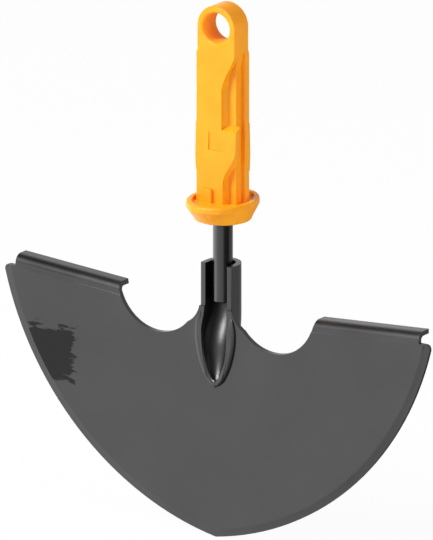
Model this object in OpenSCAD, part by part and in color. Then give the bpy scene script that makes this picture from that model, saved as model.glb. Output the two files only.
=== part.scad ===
/* [Rod] */
// Diameter of the steel rod between blade and plug
rod_d = 9; // [7:0.5:11]
// Length of rod standing inside the open socket
rod_in_socket = 18; // [12:1:24]
// Length of rod moulded into the plug, above the flange's underside
rod_in_plug = 72; // [40:1:76]
// Diameter of the keying neck turned into the rod's upper end
rod_neck_d = 6.5; // [5:0.5:6.8]

/* [Blade] */
// Thickness of the pressed sheet
sheet_t = 2.5; // [2:0.1:3.2]
// Distance from the rod's axis to the front of the blade
front_y = 6.05; // [5.6:0.05:7]
// Depth of the blade's tip below the socket's rim
tip_drop = 126.5; // [115:0.5:140]
// Radius of each half's cutting edge
edge_r = 143.2; // [135:0.1:155]
// How far each edge's centre lies past the middle line
edge_offset = 24.6; // [18:0.1:32]
// Depth of the outer corners below the socket's rim
corner_drop = 18.2; // [17:0.1:22]
// Rounding of the outer corners
corner_r = 2.2; // [1:0.1:4]
// Thickness left at the cutting edge
edge_t = 1.4; // [0.8:0.1:1.8]
// Width of the bevel along the cutting edge
bevel_w = 3.2; // [2:0.1:5]
// Height of the raised panel above its border
panel_h = 0.3; // [0.1:0.05:0.5]
// Width of the border between the panel and the tread's bend
border_w = 1; // [0.6:0.1:4]

/* [Bays] */
// Radius of the round bay on each side of the socket
bay_r = 21.7; // [18:0.1:22.5]
// Distance of each bay's centre from the middle line
bay_x = 31.2; // [30.5:0.1:33]
// Depth of the bays' centres below the socket's rim
bay_drop = 14.2; // [12:0.1:18]
// Radius of the hollow where each bay runs up into the neck
neck_r = 12.5; // [8:0.1:16]

/* [Treads] */
// Distance of a tread's outer end from the middle line
tread_out = 108.4; // [95:0.5:110]
// Depth of the tread's top below the socket's rim, at its outer end
tread_drop = 13.2; // [11:0.1:15]
// Angle by which each tread rises outwards
tread_rise = 3.9; // [0:0.1:6]
// Outer radius of the tread's roll
tread_r = 4; // [3.6:0.1:5]
// Flat length of the tread behind its roll
tread_flat = 4.2; // [1:0.1:6]

/* [Socket and frog] */
// Gap between the rod and the socket's wall
socket_gap = 1.33; // [0.6:0.01:1.6]
// Distance from the rod's axis to the front of the socket's arms
arm_y = 5.3; // [4:0.1:5.6]
// Length of the straight part of the socket
socket_len = 18; // [14:0.5:19]
// Length of the frog, from the straight socket to its tip
frog_len = 39; // [30:0.5:45]
// Greatest half width of the trough inside the frog
frog_w = 6.8; // [6:0.1:8.2]
// Height of the frog's lips above the blade's front
lip_h = 1.2; // [0.6:0.1:2]
// Width of the lip's crest
lip_w = 0.7; // [0.4:0.1:1.2]

/* [Welds] */
// Length of each weld seam between rod and socket
weld_len = 12; // [6:1:16]
// Angle round the rod that each seam fills
weld_arc = 34; // [15:1:45]
// Angle of each seam's middle from the back of the socket
weld_turn = 48; // [30:1:60]

/* [Plug] */
// Height of the hanging hole's centre above the socket's rim
hole_up = 109.1; // [100:0.1:115]
// Diameter of the hanging hole
hole_d = 13.6; // [10:0.1:15]
// Rounding of the hanging hole's rims
hole_rim = 1.4; // [0.5:0.1:2]
// Width of the plug's round end
end_w = 20.2; // [18:0.1:21]
// Thickness of the plug, front to back
plug_t = 11.14; // [10.4:0.02:12]
// Rounding of the plug's long edges
plug_edge = 0.6; // [0.3:0.1:1.4]
// Height of the shoulders where the rails begin, above the socket's rim
shoulder_up = 97.9; // [95:0.1:99]
// Height over which the shoulders slope out to the rails
shoulder_h = 3.4; // [2:0.1:6]
// Width of the plug across its rails
rail_w = 21.3; // [20.5:0.1:23]
// Thickness of the front and the back rail
rail_t = 3.45; // [2.8:0.05:3.8]
// Width of the web between the rails
web_w = 17; // [13:0.5:19]
// Wall of the round core about the rod
core_wall = 0.75; // [0.5:0.05:1]
// Height of the swelling on each rail's face
swell_h = 0.55; // [0.1:0.05:0.8]
// Height of the swelling's crest above the socket's rim
swell_up = 50; // [46:0.5:56]
// Length of the swelling's lower flank
swell_flank = 7.5; // [3:0.5:10]

/* [Latch pockets] */
// Distance of the pockets' inner edge from the middle line, upper pocket
pocket_x = 2.9; // [2:0.1:4]
// The same for the lower pocket
notch_x = 3.6; // [2:0.1:5]
// Height of the land between the pockets, top, above the socket's rim
land_top = 64.6; // [60:0.1:68]
// Height where the land starts to narrow
land_low = 53.5; // [50:0.1:56]
// Height where the lower pocket reaches its full width
notch_top = 38.5; // [35:0.1:44]
// Height where the upper pocket starts to close
pocket_top = 80; // [74:0.1:84]
// Height where the upper pocket's curve ends, past the plug's side
pocket_shut = 101.5; // [100:0.1:103]
// Height of the slope on the pockets' ends, from floor to face
pocket_slope = 2; // [0.5:0.1:3]

/* [Land window] */
// Width of the shallow window on the land between the pockets
window_w = 7.6; // [4:0.1:10]
// Height of the window
window_h = 8.2; // [4:0.1:9]
// Height of the window's middle above the socket's rim
window_up = 57; // [55:0.1:60]
// Depth of the window
window_depth = 0.15; // [0.1:0.05:0.4]

/* [Key lug] */
// Width of the lug at the foot of each rail
lug_w = 5.2; // [3:0.1:7]
// Distance of the lug's middle from the middle line
lug_x = 4.5; // [3:0.1:6]
// Height of the lug above the flange
lug_len = 4.9; // [3:0.1:7]
// Height of the lug above the rail's face
lug_h = 1.3; // [0.6:0.1:2]

/* [Flange] */
// Width of the flange's rim, across the plug
flange_x = 30.6; // [28:0.1:34]
// Depth of the flange's rim, front to back
flange_y = 37.2; // [32:0.1:40]
// Height of the rim's top above the socket's rim
flange_up = 29.9; // [27:0.1:32]
// Distance that the rim's top edge is drawn in
flange_lead = 0.95; // [0.4:0.05:1.6]
// Height of the drawn-in edge
flange_shoulder = 1.2; // [0.6:0.1:2]
// Height of the flange's upright rim
flange_rim = 1.6; // [0.8:0.1:2.4]
// Width of the rim's flat top
flange_top_w = 1.5; // [1:0.1:2.5]
// Depth of the recess inside the rim
recess_h = 1.5; // [0.5:0.1:2]
// Diameter of the flange's underside
flange_base_d = 24.2; // [18:0.1:28]
// Whole height of the flange
flange_h = 9.5; // [7:0.1:12]
// Rounding of the flange's lower edge
flange_edge = 1; // [0.4:0.1:1.6]

/* [Hidden] */
$fn = 96;

// Every height below is taken from the socket's rim; the part's origin is the hanging hole
rim_z = -hole_up;
rod_r = rod_d / 2;
socket_r = rod_r + socket_gap;

// Blade levels along Y, with the blade's front facing -Y
y_front = -front_y;
y_border = y_front + panel_h;
y_back = y_front + sheet_t;
y_mid = (y_front + y_back) / 2;
clear = 2;
edge_z = -tip_drop + sqrt(pow(edge_r, 2) - pow(edge_offset, 2));
panel_r = edge_r - bevel_w;
panel_slope = 2 * panel_h;

// Each tread's bend line in the blade's plane; the plate ends half a leg below it
bend_out = -tread_drop - tread_r;
tread_leg = 1;
tread_inset = 0.02;
function plate_top(x) = bend_out - (tread_out - x) * tan(tread_rise) - tread_leg / 2;

// Half width of the socket's arms, and the hollow that joins each bay to them
arm_x = rod_d / 2 + socket_gap + sheet_t;
neck_x = arm_x + neck_r;
neck_z = -socket_len + 0.5;
neck_top = neck_z - 2.5;

// Corner rounding: a circle that touches the corner's top and the cutting edge
corner_z = -corner_drop - corner_r;
corner_x = -edge_offset + sqrt(pow(edge_r - corner_r, 2) - pow(edge_z - corner_z, 2));
corner_turn = atan2(corner_z - edge_z, corner_x + edge_offset);
corner_reach = 4 * corner_r;

// Frog: half width, depth and lip at a height z, with s running from 0 at its top to 1 at its tip
frog_top = -socket_len;
frog_tip = frog_top - frog_len;
wide_z = frog_top - frog_len / 3;
wide_to_tip = wide_z - frog_tip;
frog_arc_r = (pow(wide_to_tip, 2) + pow(frog_w, 2)) / (2 * frog_w);
frog_steps = 36;
arc_steps = 24;
lip_foot = 0.3;
point_w = 0.02;
function mix(a, b, t) = a + (b - a) * t;
function ease(t) = let (u = min(1, max(0, t))) u * u * (3 - 2 * u);
function s_of(z) = (frog_top - z) / frog_len;
function frog_arc(z) =
    let (drop = min(wide_to_tip, max(0, wide_z - z)))
    max(point_w, frog_w * pow(1 - pow(drop / wide_to_tip, 2), 0.6));
function trough_w(z) = mix(socket_r, frog_arc(z), ease(3 * s_of(z)));
function trough_y(z) = mix(0, y_front - 0.1, ease(1.75 * s_of(z)));
function lip_y(z) = mix(-arm_y, y_front - lip_h, ease(3 * s_of(z)));
function crest_y(z) = mix(lip_y(z), y_mid - 2 * lip_foot, ease(6 * (s_of(z) - 0.85)));
function crest_w(z) = mix(sheet_t - lip_foot, lip_w, ease(1.2 * s_of(z)));

function outer_ring(z) =
    let (
        r = trough_w(z) + sheet_t * (1 + 0.5 * ease(1.6 * s_of(z))), y = trough_y(z),
        turn = asin(min(0.9, max(0, (y_mid - y) / r))),
        crest = trough_w(z) + crest_w(z),
        foot_x = r * cos(turn), foot_y = max(crest_y(z) + lip_foot / 2, y_mid - lip_foot)
    )
    [
        [crest, crest_y(z), z], [foot_x, foot_y, z],
        for (i = [0:arc_steps]) let (a = mix(turn, 180 - turn, i / arc_steps)) [r * cos(a), y + r * sin(a), z],
        [-foot_x, foot_y, z], [-crest, crest_y(z), z],
    ];

function inner_ring(z) =
    let (r = trough_w(z), y = trough_y(z), out = y_front - 2 * lip_h)
    [
        [r, out, z],
        for (i = [0:arc_steps]) let (a = 180 * i / arc_steps) [r * cos(a), y + r * sin(a), z],
        [-r, out, z],
    ];

frog_stations = [for (k = [0:frog_steps]) frog_top - frog_len * k / frog_steps];

// Plug levels
flange_low = flange_up - flange_h;
flange_floor = flange_up - recess_h;
base_r = flange_base_d / 2;
oval_steps = 120;
rod_top = flange_low + rod_in_plug;
face_y = plug_t / 2;
rail_in = face_y - rail_t;
pocket_out = plug_t;
rail_x = rail_w / 2;
core_r = rod_r + core_wall;
end_r = end_w / 2;
hole_r = hole_d / 2;
seat = 0.1;
curve_steps = 8;

// One closed skin through rings of points, given from the top down
module skin(rings) {
    n = len(rings[0]);
    last = len(rings) - 1;
    sides = [
        for (k = [0:last - 1], i = [0:n - 1])
            let (a = k * n + i, b = k * n + (i + 1) % n)
            each [[a, b, b + n], [a, b + n, a + n]],
    ];
    caps = [[for (i = [n - 1:-1:0]) i], [for (i = [0:n - 1]) last * n + i]];
    polyhedron(points = [for (ring = rings) each ring], faces = concat(sides, caps));
}

module both_sides() {
    children();
    mirror([1, 0, 0]) children();
}

// A drawing in X and Z, made into a slab between two levels of Y
module slab(y0, y1)
    translate([0, y1, 0])
        rotate([90, 0, 0])
            linear_extrude(height = y1 - y0)
                children();

// A profile of radius against Y, spun about a point in X and Z
module spun(x, z)
    translate([x, 0, z])
        rotate([-90, 0, 0])
            rotate_extrude($fn = 360)
                children();

module rounded(w, h, r)
    union() {
        square([w - 2 * r, h], center = true);
        square([w, h - 2 * r], center = true);
        for (sx = [-1, 1], sy = [-1, 1])
            translate([sx * (w / 2 - r), sy * (h / 2 - r)]) circle(r = r);
    }

module blade()
    color([0.33, 0.33, 0.34])
        translate([0, 0, rim_z])
            difference() {
                union() {
                    difference() {
                        union() {
                            plate();
                            panel();
                            both_sides() tread();
                        }
                        both_sides() bay();
                    }
                    skin([for (z = concat([0], frog_stations)) outer_ring(z)]);
                }
                skin([for (z = concat([1], frog_stations)) inner_ring(z)]);
            }

module edge_profile() {
    half = edge_t / 2;
    polygon([
        [0, y_border], [panel_r, y_border], [edge_r, y_mid - half],
        [edge_r, y_mid + half], [panel_r, y_back], [0, y_back],
    ]);
}

module plate()
    intersection() {
        spun(-edge_offset, edge_z) edge_profile();
        spun(edge_offset, edge_z) edge_profile();
        slab(y_front - clear, y_back + clear) plate_outline();
    }

module plate_outline() {
    side = corner_x + corner_reach;
    half = [
        [side, -corner_drop], [tread_out, -corner_drop], [tread_out, plate_top(tread_out)],
        [bay_x, plate_top(bay_x)], [bay_x, -bay_drop], [neck_x, neck_top], [socket_r + 0.5, neck_top],
    ];
    difference() {
        polygon(concat(
            [[-side, -tip_drop - clear], [side, -tip_drop - clear]],
            half,
            [for (i = [len(half) - 1:-1:0]) [-half[i][0], half[i][1]]]
        ));
        corner_cut();
        mirror([1, 0]) corner_cut();
    }
}

// What a sharp corner has outside its rounding
module corner_cut()
    difference() {
        polygon([
            [corner_x, corner_z], [corner_x, -corner_drop + clear],
            [corner_x + corner_reach, -corner_drop + clear],
            [corner_x + corner_reach, corner_z + corner_reach * tan(corner_turn)],
        ]);
        translate([corner_x, corner_z]) circle(r = corner_r);
    }

// The raised field inside the border, with a sloped step along edges and treads
module panel()
    difference() {
        intersection() {
            spun(-edge_offset, edge_z) panel_profile();
            spun(edge_offset, edge_z) panel_profile();
            slab(y_front - clear, y_back + clear) plate_outline();
        }
        both_sides() panel_top();
    }

module panel_profile()
    polygon([
        [0, y_front], [panel_r - panel_slope, y_front], [panel_r, y_border],
        [panel_r, y_mid], [0, y_mid],
    ]);

module panel_top()
    translate([tread_out, y_border, bend_out - border_w])
        rotate([0, -tread_rise, 0])
            rotate([atan(panel_slope / panel_h), 0, 0])
                translate([bay_x - tread_out, -sheet_t, 0])
                    cube([tread_out, 2 * sheet_t, 4 * border_w]);

module tread()
    intersection() {
        translate([tread_out, 0, bend_out])
            rotate([0, -tread_rise, 0])
                translate([bay_x - tread_out, 0, 0])
                    rotate([90, 0, 90])
                        linear_extrude(height = tread_out)
                            tread_profile();
        translate([bay_x, y_front - clear, plate_top(bay_x) - clear])
            cube([tread_out - bay_x, tread_out, tread_out]);
    }

// The tread's section in Y and Z, from the blade's plane round to the flat
module tread_profile() {
    skin_front = y_border + tread_inset;
    skin_t = y_back - tread_inset - skin_front;
    roll_y = skin_front + tread_r;
    translate([skin_front, -tread_leg]) square([skin_t, tread_leg]);
    translate([roll_y, 0])
        intersection() {
            difference() {
                circle(r = tread_r);
                circle(r = tread_r - skin_t);
            }
            translate([-tread_r, 0]) square(tread_r);
        }
    translate([roll_y, tread_r - skin_t]) square([tread_flat, skin_t]);
}

module bay()
    slab(y_front - clear, y_border + tread_r + tread_flat + clear) {
        translate([bay_x, -bay_drop]) circle(r = bay_r, $fn = 180);
        translate([neck_x, neck_z]) circle(r = neck_r, $fn = 180);
    }

// The rod's whole shape, with the keyed neck that the plug grips
module rod_body() {
    neck_len = 6;
    head_len = 5;
    chamfer = 0.6;
    translate([0, 0, -rod_in_socket]) cylinder(r1 = rod_r - chamfer, r2 = rod_r, h = chamfer);
    translate([0, 0, chamfer - rod_in_socket])
        cylinder(r = rod_r, h = rod_top - head_len - neck_len + rod_in_socket - chamfer);
    translate([0, 0, rod_top - head_len - neck_len]) cylinder(d = rod_neck_d, h = neck_len);
    translate([0, 0, rod_top - head_len]) cylinder(r = rod_r, h = head_len);
}

module tang_rod()
    color([0.24, 0.24, 0.25])
        translate([0, 0, rim_z])
            rod_body();

// A seam that fills the gap between rod and socket, turned from the socket's back
module weld_seam(turn)
    color([0.2, 0.2, 0.2])
        translate([0, 0, rim_z - socket_len + (socket_len - weld_len) / 2])
            rotate([0, 0, 90 + turn - weld_arc / 2])
                rotate_extrude(angle = weld_arc)
                    translate([rod_r, 0]) square([socket_gap, weld_len]);

module weld_seam_left() weld_seam(weld_turn);

module weld_seam_right() weld_seam(-weld_turn);

module plug()
    color([0.98, 0.62, 0.1])
        translate([0, 0, rim_z])
            difference() {
                union() {
                    difference() {
                        union() {
                            round_end();
                            rail();
                            rotate([0, 0, 180]) rail();
                        }
                        pockets();
                        rotate([0, 0, 180]) pockets();
                    }
                    slab(-rail_in - seat, rail_in + seat) web();
                    translate([0, 0, flange_floor - seat])
                        cylinder(r = core_r, h = shoulder_up - flange_floor + 2 * seat);
                    lug();
                    rotate([0, 0, 180]) lug();
                    flange();
                }
                hanging_hole();
                rod_body();
            }

module round_end() {
    spun(0, hole_up)
        intersection() {
            rounded(end_w, plug_t, plug_edge);
            translate([0, -plug_t]) square(2 * plug_t);
        }
    translate([0, 0, shoulder_up])
        linear_extrude(height = hole_up - shoulder_up)
            rounded(end_w, plug_t, plug_edge);
}

// The front rail, whole: its swelling, and its shoulders sloped in to the round end
module rail()
    intersection() {
        union() {
            translate([0, -(rail_in + rail_t / 2), flange_floor - seat])
                linear_extrude(height = shoulder_up - flange_floor + 2 * seat)
                    rounded(rail_w, rail_t, plug_edge);
            translate([-rail_x, 0, 0]) rotate([90, 0, 90]) linear_extrude(height = rail_w)
                polygon([
                    [-face_y, land_top], [-face_y - swell_h, swell_up],
                    [-face_y, swell_up - swell_flank], [rail_t / 2 - face_y, swell_up],
                ]);
        }
        slab(-plug_t, 0) outline(rail_x + seat, shoulder_up - shoulder_h, end_r, shoulder_up + seat);
    }

// The web between front and back, which widens to meet the round end
module web() outline(web_w / 2, shoulder_up - 2 * shoulder_h, end_r - seat, shoulder_up + shoulder_h / 3);

// A bar up from the flange, xa wide each side up to za, then changing to xb at zb
module outline(xa, za, xb, zb)
    polygon([
        [-xa, flange_floor - seat], [xa, flange_floor - seat], [xa, za],
        [xb, zb], [-xb, zb], [-xa, za],
    ]);

module lug()
    translate([-lug_x - lug_w / 2, -face_y - lug_h, flange_floor - seat])
        cube([lug_w, lug_h + rail_t / 2, lug_len + recess_h + seat]);

// What the front rail loses: two pockets with sloped ends, and the window
module pockets() {
    pocket(upper_pocket(-pocket_slope, 0), upper_pocket(0, 0));
    pocket(lower_pocket(0), lower_pocket(-pocket_slope));
    slab(-plug_t, window_depth - face_y)
        translate([0, window_up]) square([window_w, window_h], center = true);
}

// Runs from a to b in X and Z, upright at both ends
function swing(a, b) = [
    for (i = [0:curve_steps])
        let (t = i / curve_steps)
        [mix(a[0], b[0], ease(t)), mix(a[1], b[1], t)],
];

// The pockets' outlines, with their lower or upper end moved by a slope
function upper_pocket(low, top) = concat(
    [[pocket_x, land_top + low], [pocket_out, land_top + low], [pocket_out, pocket_shut + top]],
    swing([rail_x, pocket_shut + top], [pocket_x, pocket_top + top])
);

function lower_pocket(top) = concat(
    [[notch_x, flange_floor - seat], [pocket_out, flange_floor - seat], [pocket_out, land_low + top]],
    swing([rail_x, land_low + top], [notch_x, notch_top + top])
);

// A pocket from beyond the front face to its floor, between two outlines
module pocket(at_face, at_floor)
    rotate([90, 0, 0])
        skin([
            for (p = [[at_face, plug_t], [at_face, face_y], [at_floor, rail_in - seat / 2]])
                [for (q = p[0]) [q[0], q[1], p[1]]],
        ]);

module hanging_hole() {
    half = plug_t / 2;
    spun(0, hole_up) {
        translate([0, -half - clear]) square([hole_r, plug_t + 2 * clear]);
        for (s = [-1, 1])
            scale([1, s])
                difference() {
                    translate([0, half - hole_rim]) square([hole_r + hole_rim, hole_rim + clear]);
                    translate([hole_r + hole_rim, half - hole_rim]) circle(r = hole_rim);
                }
    }
}

// The flange: an oval rim with a shallow recess, on a bowl that ends in a circle
module flange() {
    rim_top = flange_up - flange_shoulder;
    rim_low = rim_top - flange_rim;
    x = flange_x / 2;
    y = flange_y / 2;
    difference() {
        skin(concat(
            [
                for (a = [90:-30:0])
                    let (in = flange_lead * (1 - cos(a)))
                    oval_ring(x - in, y - in, rim_top + flange_shoulder * sin(a))
            ],
            [
                for (t = [0:1 / curve_steps:0.95])
                    let (w = base_r + flange_edge)
                    oval_ring(mix(x, w, t), mix(y, w, t), mix(rim_low, flange_low + flange_edge, t))
            ],
            [
                for (a = [0:30:90])
                    let (w = base_r + flange_edge * cos(a))
                    oval_ring(w, w, flange_low + flange_edge * (1 - sin(a)))
            ]
        ));
        skin([
            for (z = [flange_up + clear, flange_floor])
                let (in = flange_lead + flange_top_w)
                oval_ring(x - in, y - in, z)
        ]);
    }
}

function oval_ring(x, y, z) = [
    for (i = [0:oval_steps - 1]) let (a = 360 * i / oval_steps) [x * cos(a), y * sin(a), z],
];

blade();
tang_rod();
weld_seam_left();
weld_seam_right();
plug();
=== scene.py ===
# %% [markdown]
# # A half moon edger head, dressed for its portrait
#
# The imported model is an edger's head: a pressed steel blade, a steel rod, two hidden
# weld seams and a moulded orange plug. The shapes come from the solids, which stay
# where they are. This lesson softens their edges, adds the rolled lip round the frog,
# gives every piece its finish and sets up a small white studio.

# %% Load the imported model
import math

import bpy
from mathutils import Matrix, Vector


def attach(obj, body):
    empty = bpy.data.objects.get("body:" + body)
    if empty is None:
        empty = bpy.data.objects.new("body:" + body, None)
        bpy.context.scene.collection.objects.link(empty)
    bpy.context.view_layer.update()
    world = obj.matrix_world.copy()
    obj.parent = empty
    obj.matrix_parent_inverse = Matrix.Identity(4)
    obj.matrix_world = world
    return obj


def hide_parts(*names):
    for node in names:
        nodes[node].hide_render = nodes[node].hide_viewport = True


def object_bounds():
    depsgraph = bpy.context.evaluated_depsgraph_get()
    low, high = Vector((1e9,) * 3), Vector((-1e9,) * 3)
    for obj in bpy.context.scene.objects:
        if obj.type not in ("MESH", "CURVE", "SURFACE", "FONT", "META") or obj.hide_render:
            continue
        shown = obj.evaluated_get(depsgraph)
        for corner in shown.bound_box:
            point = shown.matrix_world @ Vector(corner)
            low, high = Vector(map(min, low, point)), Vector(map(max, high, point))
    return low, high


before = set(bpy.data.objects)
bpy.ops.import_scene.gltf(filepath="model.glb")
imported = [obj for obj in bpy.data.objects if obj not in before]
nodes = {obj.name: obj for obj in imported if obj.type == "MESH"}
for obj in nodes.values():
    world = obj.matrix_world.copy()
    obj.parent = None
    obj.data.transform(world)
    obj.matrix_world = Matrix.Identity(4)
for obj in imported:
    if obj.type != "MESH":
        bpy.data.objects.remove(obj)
cad_low, cad_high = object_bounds()
MM = 0.001
print("nodes:", sorted(nodes), "size in mm:", [round(v / MM, 1) for v in cad_high - cad_low])

# %% [markdown]
# ## The camera
#
# The photograph was taken from far away with a long lens, from the right of the blade's front
# and a little above it, so upright lines stay upright. A camera with a very long lens does the
# same. It stands eight metres away.

# %% A direction from its angles
def direction(azimuth, elevation):
    a, e = math.radians(azimuth), math.radians(elevation)
    return Vector((math.sin(a) * math.cos(e), -math.cos(a) * math.cos(e), math.sin(e)))


# %% Camera from the photograph's angle
FRAME_W, FRAME_H = 433, 540
PIXELS_PER_MM = 2.25
RIM_PIXEL = (222.8, 262.0)
RIM_Z = -109.1 * MM
AZIMUTH, ELEVATION = 34.26, 16.55
DISTANCE = 8.0
SENSOR = 36

back = direction(AZIMUTH, ELEVATION)
right = Vector((math.cos(math.radians(AZIMUTH)), math.sin(math.radians(AZIMUTH)), 0))
up = back.cross(right)
aim = Vector((0, 0, RIM_Z))
aim += right * ((FRAME_W / 2 - RIM_PIXEL[0]) / PIXELS_PER_MM * MM)
aim += up * ((RIM_PIXEL[1] - FRAME_H / 2) / PIXELS_PER_MM * MM)

bpy.ops.object.camera_add(location=aim + back * DISTANCE)
camera = bpy.context.object
camera.name = "photo_camera"
camera.rotation_mode = "QUATERNION"
camera.rotation_quaternion = (-back).to_track_quat("-Z", "Y")
camera.data.sensor_width = SENSOR
camera.data.lens = PIXELS_PER_MM / MM * DISTANCE * SENSOR / FRAME_H
camera.data.clip_start, camera.data.clip_end = 0.1, 100
bpy.context.scene.camera = camera
print("lens in mm:", round(camera.data.lens))

# %% [markdown]
# ## Softened edges
#
# Paint and moulding leave no edge quite sharp. Each solid arrives as loose triangles, so a
# copy of it is merged first, its flat faces are joined back together, and a bevel rounds
# the edges that are left. The copy then stands for the solid.

# %% A merged copy of a solid
MERGE_WITHIN = 0.002 * MM
FLAT_WITHIN = math.radians(0.5)


def merged_copy(node, name):
    bpy.ops.object.select_all(action="DESELECT")
    source = nodes[node]
    mesh = source.data.copy()
    mesh.name = name
    piece = bpy.data.objects.new(name, mesh)
    bpy.context.collection.objects.link(piece)
    bpy.context.view_layer.objects.active = piece
    piece.select_set(True)
    bpy.ops.object.mode_set(mode="EDIT")
    bpy.ops.mesh.select_all(action="SELECT")
    bpy.ops.mesh.remove_doubles(threshold=MERGE_WITHIN)
    bpy.ops.mesh.dissolve_limited(angle_limit=FLAT_WITHIN)
    bpy.ops.object.mode_set(mode="OBJECT")
    mesh.materials.clear()
    print(name, len(mesh.vertices), "points", len(mesh.polygons), "faces")
    return piece


# %% Rounding the edges of a piece
def soften(piece, width, angle, segments=2, smooth=32):
    bevel = piece.modifiers.new("soft_edges", "BEVEL")
    bevel.width = width
    bevel.segments = segments
    bevel.limit_method = "ANGLE"
    bevel.angle_limit = math.radians(angle)
    bevel.use_clamp_overlap = True
    bpy.ops.object.modifier_apply(modifier=bevel.name)
    bpy.ops.object.shade_smooth_by_angle(angle=math.radians(smooth))
    print(piece.name, "now has", len(piece.data.polygons), "faces")


# %% [markdown]
# Large flat faces next to small curved ones take on false shading, because every corner's
# normal is an average. Weighting the normals by face area keeps the flat faces flat.

# %% Normals led by the large faces
AREA_WEIGHT = 90


def steady_normals(piece):
    weighted = piece.modifiers.new("steady_normals", "WEIGHTED_NORMAL")
    weighted.mode = "FACE_AREA"
    weighted.weight = AREA_WEIGHT
    weighted.keep_sharp = True
    bpy.ops.object.modifier_apply(modifier=weighted.name)


# %% [markdown]
# The blade is pressed from one sheet and coated, so its sheared edges have the small
# radius that a coating leaves. The plug leaves its mould with slightly larger ones.

# %% Blade and plug with soft edges
SHEET_EDGE, SHEET_ANGLE = 0.25 * MM, 34
MOULD_EDGE, MOULD_ANGLE = 0.35 * MM, 30
blade = merged_copy("blade", "half_moon_blade")
soften(blade, SHEET_EDGE, SHEET_ANGLE)
steady_normals(blade)
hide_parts("blade")
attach(blade, "root")

plug = merged_copy("plug", "orange_plug")
soften(plug, MOULD_EDGE, MOULD_ANGLE, segments=3)
steady_normals(plug)
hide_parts("plug")
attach(plug, "root")

# %% [markdown]
# ## The rolled lip round the frog
#
# Where the press pushes the socket forward, it leaves a rounded lip on both sides of the
# trough, which meets below it in a blunt U. A curve follows the middle of that lip. Its
# points carry the lip's half width as their radius, a round bevel makes it a bar, and the
# bar is then flattened to the lip's height, so that half of it stands out of the sheet.

# %% The lip's path, in millimetres from the socket's rim
LIP_HEIGHT, LIP_WIDEST, LIP_STEPS, LIP_SMOOTH = 1.25, 2.25, 6, 50
PANEL_Y = -6.05
lip_side = [
    (8.2, -22.5, 0.2), (8.7, -25.0, 1.3), (8.9, -27.5, 1.8), (8.95, -31.0, 2.15),
    (8.75, -35.0, 2.25), (8.2, -39.0, 2.2), (7.35, -43.0, 2.1), (6.1, -47.0, 2.0),
    (4.7, -50.3, 1.85), (2.9, -53.2, 1.65), (1.3, -54.7, 1.5),
]
lip_tip = (0, -55.0, 1.5)
other_side = [(-x, z, half) for x, z, half in reversed(lip_side)]
lip_points = lip_side + [lip_tip] + other_side
print("points on the lip's path:", len(lip_points))

# %% The curve, turned into a mesh and flattened
bpy.ops.object.select_all(action="DESELECT")
bpy.ops.curve.primitive_nurbs_path_add(location=(0, 0, 0))
lip = bpy.context.object
lip.name = "frog_lip"
lip.data.splines.clear()
spline = lip.data.splines.new("NURBS")
spline.points.add(len(lip_points) - 1)
for point, (x, z, half) in zip(spline.points, lip_points):
    point.co = (x * MM, 0, z * MM, 1)
    point.radius = half
spline.order_u, spline.use_endpoint_u, spline.resolution_u = 4, True, LIP_STEPS
lip.data.bevel_depth = MM
lip.data.bevel_resolution = LIP_STEPS
lip.data.use_fill_caps = True
bpy.ops.object.convert(target="MESH")
bpy.ops.object.mode_set(mode="EDIT")
bpy.ops.mesh.select_all(action="SELECT")
flatter = (1, LIP_HEIGHT / LIP_WIDEST, 1)
bpy.ops.transform.resize(value=flatter, center_override=(0, 0, 0))
bpy.ops.transform.translate(value=(0, PANEL_Y * MM, RIM_Z))
bpy.ops.mesh.normals_make_consistent(inside=False)
bpy.ops.object.mode_set(mode="OBJECT")
bpy.ops.object.shade_smooth_by_angle(angle=math.radians(LIP_SMOOTH))
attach(lip, "root")
print(lip.name, len(lip.data.polygons), "faces")

# %% [markdown]
# ## Finishes
#
# Each finish is built from nodes on Object coordinates, which stay with the piece when it
# moves. Two effects are shared: the fine grain that makes a coating or a moulding catch the
# light unevenly, and slow patches that make a large face a little lighter and darker. Each
# is a node group, built once and used with its own values in each material.

# %% Shader helpers
def wire(tree, output, target):
    tree.links.new(output, target)


def add(tree, kind, **values):
    node = tree.nodes.new(kind)
    for name, value in values.items():
        setattr(node, name, value)
    return node


def new_material(name):
    material = bpy.data.materials.new(name)
    material.use_nodes = True
    tree = material.node_tree
    tree.nodes.clear()
    out = add(tree, "ShaderNodeOutputMaterial")
    shader = add(tree, "ShaderNodeBsdfPrincipled")
    wire(tree, shader.outputs["BSDF"], out.inputs["Surface"])
    return material, tree, shader


def calc(tree, operation, *values):
    node = add(tree, "ShaderNodeMath", operation=operation)
    for socket, value in zip(node.inputs, values):
        if isinstance(value, (int, float)):
            socket.default_value = value
        else:
            wire(tree, value, socket)
    return node.outputs[0]


def dress(piece, material):
    piece.data.materials.clear()
    piece.data.materials.append(material)


# %% A group's sockets
def new_group(name, inputs, outputs):
    group = bpy.data.node_groups.new(name, "ShaderNodeTree")
    for label, kind, value in inputs:
        socket = group.interface.new_socket(label, in_out="INPUT", socket_type=kind)
        if value is not None:
            socket.default_value = value
    for label, kind in outputs:
        group.interface.new_socket(label, in_out="OUTPUT", socket_type=kind)
    return group, add(group, "NodeGroupInput"), add(group, "NodeGroupOutput")


def use_group(tree, group, **values):
    node = add(tree, "ShaderNodeGroup", node_tree=group)
    for label, value in values.items():
        node.inputs[label.replace("_", " ")].default_value = value
    return node


# %% [markdown]
# The grain is a fine noise read as height. Only its normal leaves the group, so every
# material can have it in its own size and depth.

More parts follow.
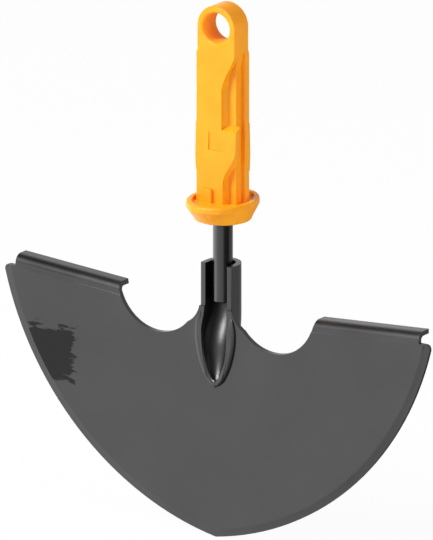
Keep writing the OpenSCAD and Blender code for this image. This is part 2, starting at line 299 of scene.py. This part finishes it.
# %% Fine grain: a normal that trembles
VECTOR, FLOAT, COLOR = "NodeSocketVector", "NodeSocketFloat", "NodeSocketColor"
grain, enter, leave = new_group(
    "fine_grain",
    [("Place", VECTOR, None), ("Grains per metre", FLOAT, 1000.0),
     ("Depth", FLOAT, 0.1), ("Height in metres", FLOAT, 0.00003)],
    [("Normal", VECTOR)],
)
noise = add(grain, "ShaderNodeTexNoise")
noise.inputs["Detail"].default_value = 3.0
noise.inputs["Roughness"].default_value = 0.55
bump = add(grain, "ShaderNodeBump")
wire(grain, enter.outputs["Place"], noise.inputs["Vector"])
wire(grain, enter.outputs["Grains per metre"], noise.inputs["Scale"])
wire(grain, noise.outputs["Fac"], bump.inputs["Height"])
wire(grain, enter.outputs["Depth"], bump.inputs["Strength"])
wire(grain, enter.outputs["Height in metres"], bump.inputs["Distance"])
wire(grain, bump.outputs["Normal"], leave.inputs["Normal"])
print("group:", grain.name)

# %% [markdown]
# The patches come from one slow noise. Its middle range is stretched over two colours and
# over two values, which the materials use as their base colour and their roughness.

# %% Slow patches: a value and a colour that drift
NOISE_LOW, NOISE_HIGH = 0.3, 0.7
patches, enter, leave = new_group(
    "slow_patches",
    [("Place", VECTOR, None), ("Patches per metre", FLOAT, 40.0),
     ("Low", FLOAT, 0.4), ("High", FLOAT, 0.5),
     ("Dark", COLOR, (0, 0, 0, 1)), ("Light", COLOR, (1, 1, 1, 1))],
    [("Value", FLOAT), ("Color", COLOR)],
)
noise = add(patches, "ShaderNodeTexNoise")
noise.inputs["Detail"].default_value = 4.0
wire(patches, enter.outputs["Place"], noise.inputs["Vector"])
wire(patches, enter.outputs["Patches per metre"], noise.inputs["Scale"])
spread, level = (add(patches, "ShaderNodeMapRange") for _ in range(2))
for node in (spread, level):
    node.inputs["From Min"].default_value = NOISE_LOW
    node.inputs["From Max"].default_value = NOISE_HIGH
    wire(patches, noise.outputs["Fac"], node.inputs["Value"])
blend = add(patches, "ShaderNodeMix", data_type="RGBA")
wire(patches, spread.outputs["Result"], blend.inputs["Factor"])
wire(patches, enter.outputs["Dark"], blend.inputs["A"])
wire(patches, enter.outputs["Light"], blend.inputs["B"])
wire(patches, enter.outputs["Low"], level.inputs["To Min"])
wire(patches, enter.outputs["High"], level.inputs["To Max"])
wire(patches, level.outputs["Result"], leave.inputs["Value"])
wire(patches, blend.outputs["Result"], leave.inputs["Color"])
print("group:", patches.name)

# %% [markdown]
# ## A coating that varies
#
# All four finishes start alike: patches drive the colour and the roughness, and grain drives
# the normal. Each gets its own colours, its own grain size and its own shine.

# %% Base of every finish
def varied(name, dark, light, rough, patch_scale, grain_scale, grain_depth):
    material, tree, shader = new_material(name)
    place = add(tree, "ShaderNodeTexCoord")
    slow = use_group(tree, patches, Patches_per_metre=patch_scale,
                     Low=rough[0], High=rough[1], Dark=(*dark, 1), Light=(*light, 1))
    fine = use_group(tree, grain, Grains_per_metre=grain_scale, Depth=grain_depth)
    wire(tree, place.outputs["Object"], slow.inputs["Place"])
    wire(tree, place.outputs["Object"], fine.inputs["Place"])
    wire(tree, slow.outputs["Color"], shader.inputs["Base Color"])
    wire(tree, slow.outputs["Value"], shader.inputs["Roughness"])
    wire(tree, fine.outputs["Normal"], shader.inputs["Normal"])
    return material, tree, shader, place, slow


# %% [markdown]
# ## Coated steel
#
# The blade has a satin dark grey coating. Near its left tip a patch with a ragged edge carries
# a painted dark reflection: a mask of stretched noise inside a soft box makes the colour darker
# there, which is painted reflection, and the roughness lower, which makes the coating glossier.

# %% Blade coating
coated, tree, shader, place, slow = varied(
    "coated_steel", (0.078, 0.078, 0.080), (0.088, 0.088, 0.090),
    rough=(0.36, 0.42), patch_scale=30, grain_scale=1400, grain_depth=0.25)
shader.inputs["Metallic"].default_value = 1.0
dress(blade, coated)
dress(lip, coated)
print(coated.name, "on", blade.name, "and", lip.name)


# %% A smooth step between two numbers
def ramp(tree, value, start, end):
    node = add(tree, "ShaderNodeMapRange", interpolation_type="SMOOTHSTEP")
    node.inputs["From Min"].default_value = start
    node.inputs["From Max"].default_value = end
    wire(tree, value, node.inputs["Value"])
    return node.outputs["Result"]


# %% Mask of the patch with the painted dark reflection
PATCH_MID, PATCH_HALF, PATCH_EDGE = (-0.0885, 0, -0.1645), (0.0115, 0, 0.012), 0.006
PANEL_FRONT = -0.0058
STREAKS_PER_METRE, STREAK_STRETCH = 420, (0.35, 1, 1.6)
RAGGED, EDGE_BLUR = 2.4, 0.12
apart = add(tree, "ShaderNodeSeparateXYZ")
squeeze = add(tree, "ShaderNodeMapping")
squeeze.inputs["Scale"].default_value = STREAK_STRETCH
streaks = add(tree, "ShaderNodeTexNoise")
streaks.inputs["Scale"].default_value = STREAKS_PER_METRE
streaks.inputs["Detail"].default_value = 5
wire(tree, place.outputs["Object"], apart.inputs[0])
wire(tree, place.outputs["Object"], squeeze.inputs["Vector"])
wire(tree, squeeze.outputs["Vector"], streaks.inputs["Vector"])

reach = []
for axis in (0, 2):
    off = calc(tree, "SUBTRACT", apart.outputs[axis], PATCH_MID[axis])
    reach.append(calc(tree, "SUBTRACT", calc(tree, "ABSOLUTE", off), PATCH_HALF[axis]))
outside = calc(tree, "DIVIDE", calc(tree, "MAXIMUM", *reach), PATCH_EDGE)
ragged = calc(tree, "MULTIPLY_ADD", streaks.outputs["Fac"], RAGGED, -RAGGED / 2)
inside = ramp(tree, calc(tree, "ADD", outside, ragged), EDGE_BLUR, -EDGE_BLUR)
on_panel = calc(tree, "LESS_THAN", apart.outputs[1], PANEL_FRONT)
mask = calc(tree, "MULTIPLY", inside, on_panel)

# %% Painted dark reflection and lower roughness where the mask is
# The darker colour in the patch is a painted reflection; only the lower roughness belongs to
# the coating itself.
PAINTED_REFLECTION_COLOR, PATCH_ROUGH = (0.03, 0.03, 0.031, 1), 0.3
painted_reflection_tint = add(tree, "ShaderNodeMix", data_type="RGBA")
shine = add(tree, "ShaderNodeMix")
for node, usual, in_patch, target in (
        (painted_reflection_tint, "Color", PAINTED_REFLECTION_COLOR, "Base Color"), (shine, "Value", PATCH_ROUGH, "Roughness")):
    node.inputs["B"].default_value = in_patch
    wire(tree, mask, node.inputs["Factor"])
    wire(tree, slow.outputs[usual], node.inputs["A"])
    wire(tree, node.outputs["Result"], shader.inputs[target])
print("patch on", coated.name)

# %% [markdown]
# ## Rod and welds
#
# The rod is drawn steel under a like coating, a little smoother. The weld beads are darker
# and rougher.

# %% Rod and weld coating
rod_paint, tree, shader = varied(
    "rod_coating", (0.080, 0.080, 0.082), (0.092, 0.092, 0.094),
    rough=(0.26, 0.34), patch_scale=60, grain_scale=1800, grain_depth=0.15)[:3]
shader.inputs["Metallic"].default_value = 1.0
weld_paint = varied(
    "weld_coating", (0.035, 0.035, 0.036), (0.055, 0.054, 0.053),
    rough=(0.5, 0.65), patch_scale=400, grain_scale=900, grain_depth=0.5)[0]
dress(nodes["tang_rod"], rod_paint)
for seam in ("weld_seam_left", "weld_seam_right"):
    dress(nodes[seam], weld_paint)
print(rod_paint.name, "and", weld_paint.name)

# %% [markdown]
# ## Orange plastic
#
# The plug is a moulded plastic, nylon by its look. Light goes a little way in, so shaded
# corners glow deeper orange, and the skin has the faint grain of its mould.

# %% Plug plastic
plastic, tree, shader = varied(
    "orange_plastic", (0.98, 0.355, 0.008), (1.0, 0.39, 0.012),
    rough=(0.40, 0.50), patch_scale=70, grain_scale=1500, grain_depth=0.3)[:3]
shader.inputs["Subsurface Weight"].default_value = 0.3
shader.inputs["Subsurface Radius"].default_value = (1.0, 0.4, 0.1)
shader.inputs["Subsurface Scale"].default_value = 0.003
shader.inputs["Specular IOR Level"].default_value = 0.28
dress(plug, plastic)
print(plastic.name, "on", plug.name)

# %% [markdown]
# ## The studio
#
# The floor stands in for the photograph's white ground. To the camera its material is
# mostly plain white, and the rest still takes the object's shadow. Glossy rays pass it by,
# so the steel doesn't mirror it: what the steel mirrors is set in the world, further down.

# %% Floor
WHITE_SHARE = 0.95
FLOOR_SIZE, FLOOR_GAP = 80, 0.2 * MM
FLOOR_COLOR, FLOOR_ROUGH = (0.9, 0.9, 0.9, 1), 0.9
bpy.ops.mesh.primitive_plane_add(size=FLOOR_SIZE, location=(0, 0, cad_low.z - FLOOR_GAP))
floor = bpy.context.object
floor.name = "studio_floor"
floor.visible_glossy = False
floor_paint, tree, shader = new_material("white_floor")
shader.inputs["Base Color"].default_value = FLOOR_COLOR
shader.inputs["Roughness"].default_value = FLOOR_ROUGH
dress(floor, floor_paint)
glow = add(tree, "ShaderNodeEmission")
glow.inputs["Strength"].default_value = 1.0
path = add(tree, "ShaderNodeLightPath")
seen = calc(tree, "MAXIMUM", path.outputs["Is Camera Ray"],
            path.outputs["Is Transmission Ray"])
mix = add(tree, "ShaderNodeMixShader")
wire(tree, calc(tree, "MULTIPLY", seen, WHITE_SHARE), mix.inputs["Fac"])
wire(tree, shader.outputs["BSDF"], mix.inputs[1])
wire(tree, glow.outputs["Emission"], mix.inputs[2])
wire(tree, mix.outputs[0], tree.nodes["Material Output"].inputs["Surface"])
print("floor at z =", round(floor.location.z / MM, 1), "mm")

# %% [markdown]
# The plug's front is lighter than its side and its pockets are shaded, so the key lamp
# stands on the left and a weak fill lights the right side. Neither shows in mirrors. The
# streaks in the frog come from nearer the middle, so a lamp that only mirrors show makes them.

# %% Lamps
LAMP_DISTANCE = 1.9


def softbox(name, azimuth, elevation, size, power):
    way = direction(azimuth, elevation)
    centre = (cad_low + cad_high) / 2
    bpy.ops.object.light_add(type="AREA", location=centre + way * LAMP_DISTANCE)
    lamp = bpy.context.object
    lamp.name = name
    lamp.rotation_mode = "QUATERNION"
    lamp.rotation_quaternion = (-way).to_track_quat("-Z", "Y")
    lamp.data.shape = "RECTANGLE"
    lamp.data.size, lamp.data.size_y = size
    lamp.data.energy = power
    print(name, power, "W")
    return lamp


key = softbox("left_key", -40, 36, size=(0.6, 0.9), power=42)
key.visible_glossy = False
glint = softbox("front_glint", -6, 34, size=(0.6, 0.9), power=50)
glint.visible_diffuse = False
fill = softbox("right_fill", 80, 25, size=(0.9, 0.9), power=13)
fill.visible_glossy = False

# %% [markdown]
# The coating is a dim mirror, so it shows the room more than the lamps. In the photograph
# surfaces that face left or forward are lighter and those that face right are nearly black.
# The world gives glossy rays such a room: bright low down on the left and in front, and on
# the left behind, dimmer behind on the right, and dark elsewhere. It isn't the white ground
# that the camera sees. Camera rays and rays through a material see plain white, and all
# other rays an even grey.

# %% World and its directions
world = bpy.data.worlds.new("studio_world")
bpy.context.scene.world = world
world.use_nodes = True
tree = world.node_tree
tree.nodes.clear()
out = add(tree, "ShaderNodeOutputWorld")
place = add(tree, "ShaderNodeTexCoord")
way = add(tree, "ShaderNodeSeparateXYZ")
wire(tree, place.outputs["Generated"], way.inputs[0])
to_x, to_y, to_z = (way.outputs[axis] for axis in "XYZ")
print("world:", world.name)


# %% The room that the coating mirrors
def product(tree, value, *others):
    for other in others:
        value = calc(tree, "MULTIPLY", value, other)
    return value


ROOM_LOW, ROOM_FRONT, ROOM_BACK = 0.11, 1.15, 0.5
LEFT_START, LEFT_SLOPE = 0.18, 3.1
# Each pair is where one side of the room begins and where it is full, along X, Y or Z.
BELOW_HORIZON, BEHIND = (0.16, -0.04), (0.25, 0.5)
FRONT_RIGHT_END, FRONT = (0.75, 0.55), (-0.25, -0.45)
FRONT_TOP, FRONT_BOTTOM, BACK_BOTTOM = (0.0, -0.12), (-0.38, -0.31), (-0.45, -0.33)
leftness = calc(tree, "MULTIPLY_ADD", to_x, -LEFT_SLOPE, -LEFT_START * LEFT_SLOPE)
leftness = calc(tree, "MAXIMUM", leftness, 0)
low_down = ramp(tree, to_z, *BELOW_HORIZON)
behind = ramp(tree, to_y, *BEHIND)
left_room = product(tree, leftness, calc(tree, "MAXIMUM", low_down, behind))
front_room = product(tree, ramp(tree, to_x, *FRONT_RIGHT_END), ramp(tree, to_y, *FRONT),
                     ramp(tree, to_z, *FRONT_BOTTOM), ramp(tree, to_z, *FRONT_TOP), ROOM_FRONT)
back_room = product(tree, behind, ramp(tree, to_z, *BACK_BOTTOM), ROOM_BACK)
room = calc(tree, "MAXIMUM", calc(tree, "MAXIMUM", left_room, front_room), back_room)
room = calc(tree, "ADD", room, ROOM_LOW)
print("room from", ROOM_LOW, "to", round(ROOM_LOW + (1 - LEFT_START) * LEFT_SLOPE, 2))

# %% Which rays see what
EVEN_LIGHT = 0.3
lights = {}
for name in ("room", "even", "white"):
    lights[name] = add(tree, "ShaderNodeBackground")
    lights[name].inputs["Color"].default_value = (1, 1, 1, 1)
wire(tree, room, lights["room"].inputs["Strength"])
lights["even"].inputs["Strength"].default_value = EVEN_LIGHT
path = add(tree, "ShaderNodeLightPath")
glossy = add(tree, "ShaderNodeMixShader")
wire(tree, path.outputs["Is Glossy Ray"], glossy.inputs["Fac"])
wire(tree, lights["even"].outputs[0], glossy.inputs[1])
wire(tree, lights["room"].outputs[0], glossy.inputs[2])
straight = calc(tree, "MAXIMUM", path.outputs["Is Camera Ray"],
                path.outputs["Is Transmission Ray"])
seen = add(tree, "ShaderNodeMixShader")
wire(tree, straight, seen.inputs["Fac"])
wire(tree, glossy.outputs[0], seen.inputs[1])
wire(tree, lights["white"].outputs[0], seen.inputs[2])
wire(tree, seen.outputs[0], out.inputs["Surface"])
bpy.context.scene.view_settings.view_transform = "Standard"
print("backgrounds:", sorted(lights))
